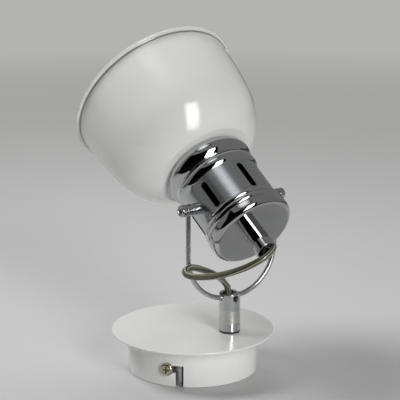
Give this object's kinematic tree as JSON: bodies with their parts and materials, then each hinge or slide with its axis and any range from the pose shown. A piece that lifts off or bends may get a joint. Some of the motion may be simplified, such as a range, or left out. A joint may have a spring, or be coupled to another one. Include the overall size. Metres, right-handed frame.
{
  "type": "pivoting spotlight wall light",
  "caption": "Wall spotlight with a bell shade on a ventilated chromed lamp body, tilting in a wire yoke on a post that turns on a round canopy.",
  "frame": {"origin": "centre of the canopy on the wall plane, which is also the centre of the cable hole and of the two wall-screw holes", "axes": "+Z out of the wall along the canopy's axis; +X from the canopy's centre towards the swivel post; +Y completes a right-handed frame"},
  "size_m": [0.1436, 0.1496, 0.2064],
  "materials": {
    "canopy_lacquer": "gloss white lacquer on steel",
    "shade_lacquer": "gloss white lacquer on steel",
    "chrome": "polished chrome plate",
    "nickel_screw": "nickel-plated screw",
    "zinc_steel": "bright zinc-plated steel",
    "brass": "turned brass",
    "black_plastic": "matt black moulded nylon",
    "holder_plastic": "black moulded thermoset",
    "steatite": "white glazed insulating ceramic",
    "cord_sheath": "translucent olive PVC sheath",
    "core_insulation": "PVC core insulation"
  },
  "bodies": {
    "canopy": {"canopy_cup": "canopy_lacquer", "canopy_disc": "canopy_lacquer", "stud_nut": "zinc_steel", "wall_bracket": "zinc_steel", "earth_screw": "brass", "terminal_block": "holder_plastic", "terminal_screws": "zinc_steel", "side_screw_1": "nickel_screw", "side_screw_2": "nickel_screw", "inner_flex": "cord_sheath"},
    "swivel": {"swivel_post": "chrome", "grub_screw": "zinc_steel", "foot_washer": "black_plastic", "threaded_nipple": "zinc_steel", "inner_washer": "zinc_steel", "lock_nut": "zinc_steel", "yoke_wire": "chrome", "eye_bush_left": "chrome", "eye_bush_right": "chrome", "core_1": "core_insulation", "core_2": "core_insulation", "flex_cord": "cord_sheath"},
    "head": {"pivot_spacer_left": "chrome", "pivot_spacer_right": "chrome", "pivot_screw_left": "chrome", "pivot_screw_right": "chrome", "pivot_nut_left": "zinc_steel", "pivot_nut_right": "zinc_steel", "holder_body": "chrome", "rear_cap": "chrome", "rear_tube": "chrome", "tube_nut": "zinc_steel", "cord_grip": "black_plastic", "holder_leads": "core_insulation", "holder_base": "holder_plastic", "holder_shell": "holder_plastic", "thread_sleeve": "brass", "contact_carrier": "steatite", "centre_contact": "brass", "bell_shade": "shade_lacquer", "shade_ring": "holder_plastic"}
  },
  "joints": [
    {"name": "swivel_pan", "type": "hinge", "parent": "canopy", "child": "swivel", "pos_m": [0.0238, 0, 0], "axis": [0, 0, 1], "range_deg": [-165, 165]},
    {"name": "head_tilt", "type": "hinge", "parent": "swivel", "child": "head", "pos_m": [0.02471, 0.00119, 0.1066], "axis": [0.6067, 0.7949, 0], "range_deg": [-44, 75], "deforming": ["flex_cord"]}
  ]
}
